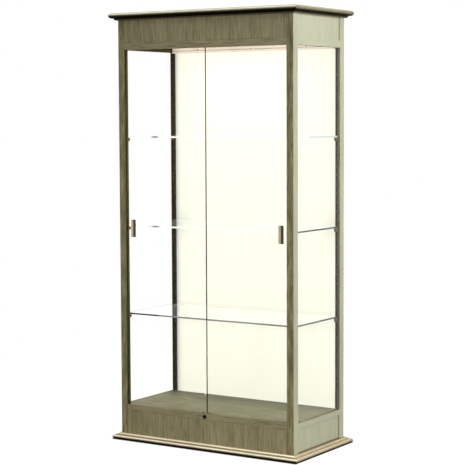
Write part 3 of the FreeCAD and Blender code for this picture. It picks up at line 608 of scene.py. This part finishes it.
def facing_in(normals, middles):
    """1 on faces that don't look outwards to the front, the back or a side: those that look in, up or down."""
    out = np.maximum(normals[:, 0] * np.sign(middles[:, 0]), normals[:, 1] * np.sign(middles[:, 1]))
    return out < 0.5


def post_faces(normals, middles):
    """0 on the front or back of a post, 1 on the side of the case and 2 where it looks into the case."""
    return np.where(facing_in(normals, middles), 2, np.abs(normals[:, 0]) > 0.5)


def facing_up(normals, middles):
    """1 on the top of a rail beside the deck."""
    return normals[:, 2] > 0.5


def soffit_side(normals, middles):
    """1 on the faces of a header rail that look down or into the case."""
    return facing_in(normals, middles) & ~facing_up(normals, middles)


def side_rim(normals, middles):
    """1 on the edges of a side pane."""
    return np.abs(normals[:, 0]) < 0.9


def left_rim(normals, middles):
    """1 on the edges of the left door."""
    return np.abs(normals[:, 1]) < 0.9


def right_rim(normals, middles):
    """1 on the edges of the right door, apart from the clear one that meets the left door."""
    return left_rim(normals, middles) & (normals[:, 0] > -0.5)


def shelf_rim(normals, middles):
    """0 on the flat faces of a shelf, and 1 to 4 on its right, left, front and rear edges."""
    across, deep = normals[:, 0], normals[:, 1]
    return np.select([across > 0.5, across < -0.5, deep < -0.5, deep > 0.5], [1, 2, 3, 4], 0)


def grid_faces(rows, columns):
    """Quads between the points of a grid whose last column joins its first."""
    row = np.arange(rows - 1)[:, None] * columns
    column = np.arange(columns)[None, :]
    ahead = (column + 1) % columns
    quads = np.stack([row + column, row + ahead, row + columns + ahead, row + columns + column], axis=-1)
    return quads.reshape(-1, 4)


def carried_up(x, y, low, high):
    """The points of one tube: an outline in plan, carried straight up from one height to another."""
    points = np.empty((1, 2, x.size, 3))
    points[..., 0] = x
    points[..., 1] = y
    points[..., 2] = np.array([low, high])[:, None]
    return points


def placed(name, data):
    """A new object in the scene."""
    made = bpy.data.objects.new(name, data)
    bpy.context.scene.collection.objects.link(made)
    return made


def add_piece(name, points, finish, body):
    """Closed tubes from points[copy, row, column]: grids joined round their columns, with capped ends.

    The columns of a tube run anticlockwise seen from its last row."""
    copies, rows, columns, _ = points.shape
    start = np.arange(copies)[:, None, None] * rows * columns
    quads = (grid_faces(rows, columns)[None] + start).reshape(-1, 4).tolist()
    ring = np.arange(columns)
    first = (ring[::-1][None] + start[:, 0]).tolist()
    last = (ring[None] + (rows - 1) * columns + start[:, 0]).tolist()
    mesh = bpy.data.meshes.new(name)
    mesh.from_pydata(points.reshape(-1, 3).tolist(), [], quads + first + last)
    mesh.materials.append(finish)
    mesh.shade_smooth()
    mesh.set_sharp_from_angle(angle=math.radians(35.0))
    piece = placed(name, mesh)
    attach(piece, body)
    return piece


class DISPLAYCASE_OT_oak(Operator):
    """Give every board and moulding its own stretch of oak"""

    bl_idname = "display_case.oak"
    bl_label = "Oak Boards"

    def execute(self, context):
        oak = context.scene.case_oak
        glazed_room = (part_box("deck")[1].z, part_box("header_rail_front")[0].z)
        panel_face, panel_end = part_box("back_panel")[0].y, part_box("back_panel")[1].x
        joint_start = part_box("base_panel_right")[1].y - oak.shaded_joint_width
        # Painted shade on the deck towards the back panel and at the joint by a rear post, and painted light and
        # shade across the lit post beyond.
        deck_painted_shade = ("Y", panel_face - 0.125, panel_face - 0.005, *oak.deck_shades)
        joint = ("Y", joint_start - 0.001, joint_start, 1.0, oak.joint_shade)
        lit_fade = ("X", panel_end + 0.0015, panel_end + 0.017, *oak.lit_shades)
        post_looks = {"figure": oak.figure, "seam": 2.6}
        deck_looks = {"contrast": 1.4, "figure": 0.3, "fade": deck_painted_shade}
        side_looks = {"contrast": oak.side_contrast, "seam": 0.0}
        cleat_looks = {"contrast": 0.3, "seam": 0.0, "painted_shading": cleat_painted_shade}
        moulded = {"contrast": 0.4, "gloss": 0.02}
        dull = {"gloss": 0.03}
        ends = ("front", "rear")
        base_panel_looks = {**side_looks, "painted_shading": base_panel_painted_shade, "fade": joint}
        base_rail_looks = {**side_looks, "painted_shading": base_rail_painted_shade}
        groups = (
            (pair("post_front") + pair("post_rear"), "Z", oak.post, post_looks, post_faces),
            (pair("base_panel", ends) + pair("header_panel", ends), "Z", oak.middle, {}, None),
            (pair("header_panel"), "Z", oak.side, {**side_looks, "fade": joint}, None),
            (pair("base_panel"), "Z", oak.shaded_base_side, base_panel_looks, None),
            (["base_rail_front"], "X", oak.middle, {}, facing_up),
            (["header_rail_front"], "X", oak.middle, {}, soffit_side),
            (["top_panel"], "X", oak.top, {}, None),
            (["deck"], "X", oak.deck, deck_looks, None),
            (["rear_cleat"], "X", oak.cleat, cleat_looks, None),
            (pair("base_rail"), "Y", oak.shaded_base_side, base_rail_looks, facing_up),
            (pair("header_rail"), "Y", oak.side, side_looks, soffit_side),
            # The plinth and the crown take painted light and shade from foot to top.
            (pair("plinth", ends), "X", oak.plinth, {**moulded, "painted_shading": plinth_painted_shading}, None),
            (pair("plinth"), "Y", oak.plinth_side, {**moulded, "painted_shading": plinth_side_painted_shading}, None),
            (pair("crown", ends), "X", oak.crown, {**moulded, "painted_shading": crown_front_painted_shading}, None),
            (pair("crown"), "Y", oak.crown, {**moulded, "painted_shading": crown_side_painted_shading}, None),
        )
        # Faces that look into the case, and header rail faces that look down, take painted shade, kept between
        # the deck and the header; base rail tops take the deck's painted shade.
        other_faces = {
            post_faces: (
                ("side", oak.shaded_post_side, side_looks),
                ("inside", oak.inside, {**dull, "between": glazed_room}),
            ),
            soffit_side: (("inside", oak.inside, dull),),
            facing_up: (("top", oak.deck, deck_looks),),
        }
        number = 0
        for names, grain, stain, looks, choose in groups:
            for name in names:
                number += 1
                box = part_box(name)
                finishes = [oak_finish(f"oak_{name}", oak, grain, stain, box, number, **looks)]
                for place, other_stain, other_looks in other_faces.get(choose, ()):
                    # The rear right post's inside faces take painted light instead.
                    if name == "post_rear_right" and place == "inside":
                        other_stain = oak.inside_lit
                        other_looks = {**other_looks, "fade": lit_fade, "seam": 0.0}
                    finishes.append(
                        oak_finish(f"oak_{place}_{name}", oak, grain, other_stain, box, number, **other_looks)
                    )
                dress(name, *finishes, choose=choose)
        return {"FINISHED"}


class DISPLAYCASE_OT_glass(Operator):
    """Glaze the doors, the sides and the shelves, with dark ground edges"""

    bl_idname = "display_case.glass"
    bl_label = "Glass"

    def execute(self, context):
        glass = context.scene.case_glass
        pane = glass_finish("pane_glass", glass.pane, glass.pane_index, glass.smear)
        side_pane = glass_finish("side_glass", glass.pane, glass.side_index, glass.smear)
        shelf = glass_finish("shelf_glass", glass.shelf, glass.index, glass.smear, glass.painted_glow)
        edge = edge_finish("ground_edge", glass.edge)
        pane_edge = edge_finish("pane_edge", glass.pane_edge, gloss=0.02)
        # Painted reflection on the lowest shelf's front edge, and on the top shelf's right edge a painted
        # highlight that turns to painted reflection further back.
        reflection_edge = edge_finish("painted_reflection_edge", glass.edge, glass.painted_edge_reflection, "X", glass.reflection_place)
        top = edge_finish("top_highlight_edge", glass.painted_edge_highlight, glass.painted_edge_reflection, "Y", glass.top_reflection_place)
        for side, rim in zip(sides, (left_rim, right_rim)):
            dress(f"{side}_door_glass", pane, pane_edge, choose=rim)
            dress(f"side_glass_{side}", side_pane, pane_edge, choose=side_rim)
        bead = paint_finish("bead_vinyl", glass.pane_edge, gloss=0.05)
        add_piece("left_door_edge_bead", self.bead_points(glass), bead, "left_door")
        for name, edges in zip(shelf_names, (
            (edge, edge, reflection_edge, shelf),
            (edge, shelf, shelf, shelf),
            (top, shelf, shelf, shelf),
        )):
            dress(name, shelf, *edges, choose=shelf_rim)
        return {"FINISHED"}

    def bead_points(self, glass):
        """A rounded rectangle, a superellipse of the fourth degree, carried up the door's edge to the header."""
        low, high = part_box("left_door_glass")
        turn = np.linspace(0.0, 2 * np.pi, 32, endpoint=False)
        across, deep = np.cos(turn), np.sin(turn)
        half_width = glass.bead_width / 2
        half_depth = (high.y - low.y) / 2 + glass.bead_stand
        x = high.x + glass.bead_stand - half_width + half_width * np.sign(across) * np.sqrt(np.abs(across))
        y = (low.y + high.y) / 2 + half_depth * np.sign(deep) * np.sqrt(np.abs(deep))
        room = 0.001
        return carried_up(x, y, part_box("left_door_shoes")[1].z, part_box("header_rail_front")[0].z - room)


class DISPLAYCASE_OT_back(Operator):
    """Paint the back panel and the soffit, and add the edge strips and the screws at the back"""

    bl_idname = "display_case.back"
    bl_label = "Back and Soffit"

    def execute(self, context):
        back = context.scene.case_back
        fittings = context.scene.case_fittings
        low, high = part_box("back_panel")
        # The dark border where the panel meets the posts is painted shade.
        border = (low.x + back.left_border_width, high.x - back.border_width, back.border)
        dress("back_panel", paint_finish("ivory_paint", back.ivory, border=border))
        dress("soffit", paint_finish("soffit_paint", back.soffit))
        dress("back_board", fibre_finish("hardboard", back.hardboard))
        # The left strip's grey is painted shade.
        for side, way, tone in (("left", -1.0, back.strip), ("right", 1.0, back.ivory)):
            vinyl = paint_finish(f"{side}_strip_vinyl", tone)
            add_piece(f"back_panel_{side}_strip", self.strip_points(back, way), vinyl, "case")
        screw = metal_finish("screw_steel", fittings.steel, "Z", rough=0.4)
        heads = self.screw_points(back.screw_radius, back.screw_height, self.back_spots(back), 1.0)
        add_piece("back_screws", heads, screw, "case")
        dark = metal_finish("dark_screw", times(fittings.steel, 0.3), "Z", rough=0.5)
        heads = self.screw_points(back.cleat_screw_radius, back.screw_height, self.cleat_spots(back), -1.0)
        add_piece("cleat_screws", heads, dark, "case")
        return {"FINISHED"}

    def strip_points(self, back, way):
        """An oval bead carried up one edge of the panel: half an ellipse in front and a flat back."""
        low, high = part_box("back_panel")
        turn = np.linspace(0.0, np.pi, 13)
        width = back.strip_width / 2
        border = back.left_border_width if way < 0.0 else back.border_width
        x = way * (high.x - border - width) - width * np.cos(turn)
        y = low.y - back.strip_thickness * np.sin(turn) ** 0.5
        return carried_up(x, y, low.z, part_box("rear_cleat")[0].z)

    def back_spots(self, back):
        """Two columns of screws up the back board, and two rows along each rear panel."""
        board_margin, panel_margin, panel_columns = 0.06, 0.012, 4
        low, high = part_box("back_board")
        column = abs(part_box("post_rear_left")[1].x) - 3 * back.screw_radius
        rows = np.linspace(low.z + board_margin, high.z - board_margin, back.screw_rows)
        spots = [(x, high.y, z) for x in (-column, column) for z in rows]
        for name in ("header_panel_rear", "base_panel_rear"):
            low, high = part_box(name)
            for x in np.linspace(-column, column, panel_columns):
                spots += [(x, high.y, low.z + panel_margin), (x, high.y, high.z - panel_margin)]
        return np.array(spots)

    def cleat_spots(self, back):
        """Three screws along the cleat, just above its groove."""
        low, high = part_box("rear_cleat")
        height = (low.z + high.z) / 2 + 0.0015
        return np.array([(x, low.y, height) for x in (-back.cleat_screw, 0.0, back.cleat_screw)])

    def screw_points(self, size, rise, spots, facing):
        """A pan head: a quarter ellipse turned about the screw's axis, with a cross pressed into it.

        facing is 1 for heads that look to the back and -1 for heads that look to the front."""
        segments, rings = 40, 10
        out = np.linspace(1.0, 0.04, rings)
        turn = np.linspace(0.0, 2 * np.pi, segments, endpoint=False)
        radius = size * out[:, None]
        x = radius * np.cos(turn)
        z = radius * np.sin(turn)
        dome = rise * np.sqrt(np.clip(1.0 - out[:, None] ** 2, 0.0, 1.0)) ** 0.7
        arm, reach, sunk = size * 0.17, size * 0.62, rise * 0.55
        cross = ((np.abs(x) < arm) | (np.abs(z) < arm)) & (radius < reach)
        y = dome - np.where(cross, sunk, 0.0)
        head = np.stack([-facing * x, facing * y, z], axis=-1)
        return spots[:, None, None, :] + head[None]


class DISPLAYCASE_OT_fittings(Operator):
    """Finish the pulls, tracks, shoes, strikes, lock, inlet and switch"""

    bl_idname = "display_case.fittings"
    bl_label = "Metal and Plastic Fittings"

    def execute(self, context):
        fittings = context.scene.case_fittings
        track = metal_finish("track_bronze", fittings.bronze, "X", rough=0.42)
        enamel = paint_finish("black_enamel", fittings.lock, gloss=0.1)
        nylon = paint_finish("brown_nylon", fittings.nylon)
        plastic = paint_finish("black_plastic", fittings.plastic)
        for name in ("lower_track", "upper_track"):
            dress(name, track)
        for side in sides:
            low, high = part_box(f"{side}_door_pull")
            # Painted shade on the right half of each pull; the left pull's paler bronze is painted light.
            shaded_half = ((low.x + high.x) / 2 - fittings.shaded_half_shift, fittings.shaded_bronze)
            tone = fittings.lit_bronze if side == "left" else fittings.bronze
            dress(f"{side}_door_pull", metal_finish(f"{side}_pull_bronze", tone, "Z", shaded_half=shaded_half))
            dress(f"{side}_door_shoes", nylon)
            dress(f"{side}_door_strike", track)
        for name in ("lock_housing", "lock_plug"):
            dress(name, enamel)
        dress("lock_bolt", metal_finish("plated_steel", fittings.steel, "X"))
        for name in ("power_inlet", "switch_housing", "switch_rocker"):
            dress(name, plastic)
        dress("inlet_pins", metal_finish("pin_brass", fittings.brass, "Y", rough=0.28))
        return {"FINISHED"}


class DISPLAYCASE_OT_pegs(Operator):
    """Turn the twelve shelf pegs, with rounded ends and flat tops"""

    bl_idname = "display_case.pegs"
    bl_label = "Shelf Pegs"

    def execute(self, context):
        fittings = context.scene.case_fittings
        brown = paint_finish("brown_plastic", fittings.peg)
        pegs = add_piece("turned_shelf_pegs", self.peg_points(fittings), brown, "case")
        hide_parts("shelf_pegs")
        return {"FINISHED"}

    def peg_points(self, fittings):
        """A cylinder with its end closed along a quarter circle, drawn down below and cut off flat on top."""
        low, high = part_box("shelf_pegs")
        radius, reach, rounding = fittings.peg_radius, fittings.peg_reach, fittings.peg_round
        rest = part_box("shelf_1")[0].z - (low.z + radius)
        bend = np.linspace(0.0, np.pi / 2, 7)[:-1]
        out = np.concatenate([[0.0], reach - rounding * (1.0 - np.sin(bend)), [reach]])
        turned = np.concatenate([[radius], radius - rounding * (1.0 - np.cos(bend)), [radius - rounding]])
        turn = np.linspace(0.0, 2 * np.pi, 36, endpoint=False)
        x = turned[:, None] * np.cos(turn)
        z = turned[:, None] * np.sin(turn)
        z = np.minimum(np.where(z < 0.0, z * fittings.peg_drop, z), rest)
        y = np.broadcast_to(out[:, None], x.shape)
        peg = np.stack([-x, y, z], axis=-1)
        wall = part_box("post_rear_left")[0].y
        places = np.array([
            (x, wall * end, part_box(name)[0].z - rest, -end)
            for name in shelf_names
            for x in (low.x + radius, high.x - radius)
            for end in (-1.0, 1.0)
        ])
        points = np.repeat(peg[None], len(places), axis=0)
        points[..., :2] *= places[:, None, None, 3:]
        return points + places[:, None, None, :3]


class DISPLAYCASE_OT_light(Operator):
    """Fit the lens and the parts behind it, and switch the light on"""

    bl_idname = "display_case.light"
    bl_label = "Header Light"

    def execute(self, context):
        light = context.scene.case_light
        tray = paint_finish("tray_paint", light.paint)
        dress("light_tray", tray)
        dress("light_driver", tray)
        dress("light_lens", paint_finish("opal_lens", light.lens, light.glow, light.strength))
        dress("led_boards", paint_finish("led_board", light.paint, light.glow, light.strength))
        dress("lens_clips", metal_finish("clip_steel", times(context.scene.case_fittings.steel, 0.5), "Y"))
        low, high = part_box("light_lens")
        below = (low + high) / 2 - Vector((0.0, 0.0, 0.006))
        add_lamp("lens_light", below, (0.0, 0.0, -1.0), (high.x - low.x, high.y - low.y), light.down, light.glow)
        deck_end, _, deck_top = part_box("deck")[1]
        behind_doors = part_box("right_door_glass")[1].y + 0.02
        middle = Vector((0.0, behind_doors, (deck_top + low.z) / 2))
        size = (1.9 * deck_end, low.z - deck_top - 0.08)
        add_lamp("inside_light", middle, (0.0, 1.0, 0.0), size, light.inside, light.glow)
        return {"FINISHED"}


def add_lamp(name, place, direction, size, power, tone, glossy=False, only=()):
    """An unseen rectangular soft light that faces along direction; only lists the pieces it lights."""
    data = bpy.data.lights.new(name, "AREA")
    data.shape = "RECTANGLE"
    data.size, data.size_y = size
    data.energy = power
    data.color = tone
    lamp = placed(name, data)
    lamp.location = place
    lamp.rotation_euler = Vector(direction).to_track_quat("-Z", "Y").to_euler()
    lamp.visible_camera = False
    lamp.visible_transmission = False
    lamp.visible_glossy = glossy
    if only:
        lit = bpy.data.collections.new(f"lit_by_{name}")
        for piece in only:
            lit.objects.link(piece)
        lamp.light_linking.receiver_collection = lit


class DISPLAYCASE_OT_stage(Operator):
    """Set up the white studio: floor, world, soft lights and the camera"""

    bl_idname = "display_case.stage"
    bl_label = "Studio"

    def execute(self, context):
        stage = context.scene.case_stage
        self.lay_floor(stage)
        self.light_world(context.scene, stage)
        middle = (case_low + case_high) / 2
        lit = [nodes[name] for name in ("back_panel", "rear_cleat", "soffit")]
        lit += [bpy.data.objects[f"back_panel_{side}_strip"] for side in sides]
        others = [piece for piece in context.scene.objects if piece.type == "MESH" and piece not in lit]
        for name, place, size, power, tone, glossy, only in (
            ("key_light", (4.0, -0.6, 2.6), 2.6, stage.key, stage.cool, True, others),
            ("top_light", (0.0, -0.2, 12.0), 4.5, stage.top, stage.warm, True, ()),
            ("panel_light", (-0.15, -4.5, 0.9), 1.2, stage.panel, stage.panel_tone, False, lit),
            ("left_fill", (-5.0, 0.6, 2.0), 3.0, stage.fill, stage.warm, False, ()),
            ("rear_fill", (-0.6, 5.2, 2.0), 3.0, stage.fill, stage.warm, False, ()),
        ):
            add_lamp(name, place, middle - Vector(place), (size, size), power, tone, glossy, only)
        data = bpy.data.cameras.new("camera")
        data.sensor_width = 36.0
        data.lens = stage.camera_lens
        camera = placed("camera", data)
        camera.location = stage.camera_place
        camera.rotation_euler = stage.camera_turn
        context.scene.camera = camera
        context.scene.view_settings.view_transform = "Standard"
        return {"FINISHED"}

    def lay_floor(self, stage):
        """A large flat square just under the case, glowing enough to meet the white background."""
        reach, gap = 30.0, 0.0005
        corners = np.array([(-1, -1), (1, -1), (1, 1), (-1, 1)]) * reach
        points = np.column_stack([corners, np.full(4, case_low.z - gap)])
        mesh = bpy.data.meshes.new("studio_floor")
        mesh.from_pydata(points.tolist(), [], [(0, 1, 2, 3)])
        mesh.materials.append(self.floor_finish(stage))
        floor = placed("studio_floor", mesh)

    def floor_finish(self, stage):
        """Pale paper with a painted contact shadow, a thin dark line round the foot of the case; further away the
        paper fades into white.
        """
        dark = 0.02
        side_narrowing = 8.0
        near, far = 0.8, 2.6
        finish = Finish("floor_paper")
        path = finish.node("LightPath").outputs
        speckle = finish.noise(finish.place, 400.0, 2.0)
        tones = finish.shaded(speckle, stage.floor, 0.99, 1.01)
        tones = finish.mix(path["Is Diffuse Ray"], tones, rgba([stage.floor_bounce] * 3))
        beyond = finish.vector("SUBTRACT", finish.vector("ABSOLUTE", finish.place), case_high)
        beyond = finish.node("SeparateXYZ", {0: beyond}).outputs
        beyond = finish.math("MAXIMUM", finish.product(beyond[0], side_narrowing), beyond[1])
        # Painted contact shadow round the foot of the case.
        clear = finish.level(beyond, stage.painted_contact_shadow / 2, stage.painted_contact_shadow, dark, 1.0)
        tones = finish.mix(clear, rgba([dark] * 3), tones)
        paper = finish.out("BsdfDiffuse", {"Color": tones})
        glow = finish.out("Emission", {"Color": white, "Strength": clear})
        away = finish.node("VectorMath", {0: finish.place}, operation="LENGTH").outputs["Value"]
        fade = finish.level(away, near, far, stage.floor_glow, 1.0)
        return finish.covered(finish.blended(finish.product(finish.shown(), fade), paper, glow))

    def light_world(self, scene, stage):
        """White to the camera, to reflections and through glass; a softer even light on everything else."""
        scene.world = bpy.data.worlds.new("studio_world")
        sky = Nodes(scene.world)
        shown = sky.shown()
        strength = sky.level(shown, 0.0, 1.0, stage.ambient, 1.0)
        tint = sky.mix(shown, rgba(stage.warm), white)
        light = sky.out("Background", {"Color": tint, "Strength": strength})
        sky.node("OutputWorld", {"Surface": light})


steps = (
    DISPLAYCASE_OT_oak,
    DISPLAYCASE_OT_glass,
    DISPLAYCASE_OT_back,
    DISPLAYCASE_OT_fittings,
    DISPLAYCASE_OT_pegs,
    DISPLAYCASE_OT_light,
    DISPLAYCASE_OT_stage,
)
settings = {
    "case_oak": OakSettings,
    "case_glass": GlassSettings,
    "case_back": BackSettings,
    "case_fittings": FittingSettings,
    "case_light": LightSettings,
    "case_stage": StageSettings,
}


class DISPLAYCASE_PT_panel(Panel):
    """Sidebar panel with the finishes of the display case"""

    bl_label = "Display Case"
    bl_idname = "DISPLAYCASE_PT_panel"
    bl_space_type = "VIEW_3D"
    bl_region_type = "UI"
    bl_category = "Display Case"

    def draw(self, context):
        for step in steps:
            self.layout.operator(step.bl_idname)
        for name, group in settings.items():
            box = self.layout.box()
            box.label(text=group.__doc__)
            for key in group.__annotations__:
                box.prop(getattr(context.scene, name), key)


classes = (*settings.values(), *steps, DISPLAYCASE_PT_panel)


def register():
    for item in classes:
        bpy.utils.register_class(item)
    for name, group in settings.items():
        setattr(Scene, name, PointerProperty(type=group))


def unregister():
    for name in settings:
        delattr(Scene, name)
    for item in reversed(classes):
        bpy.utils.unregister_class(item)


def main():
    register()
    for step in steps:
        getattr(bpy.ops.display_case, step.bl_idname.partition(".")[2])()


if __name__ == "__main__":
    main()
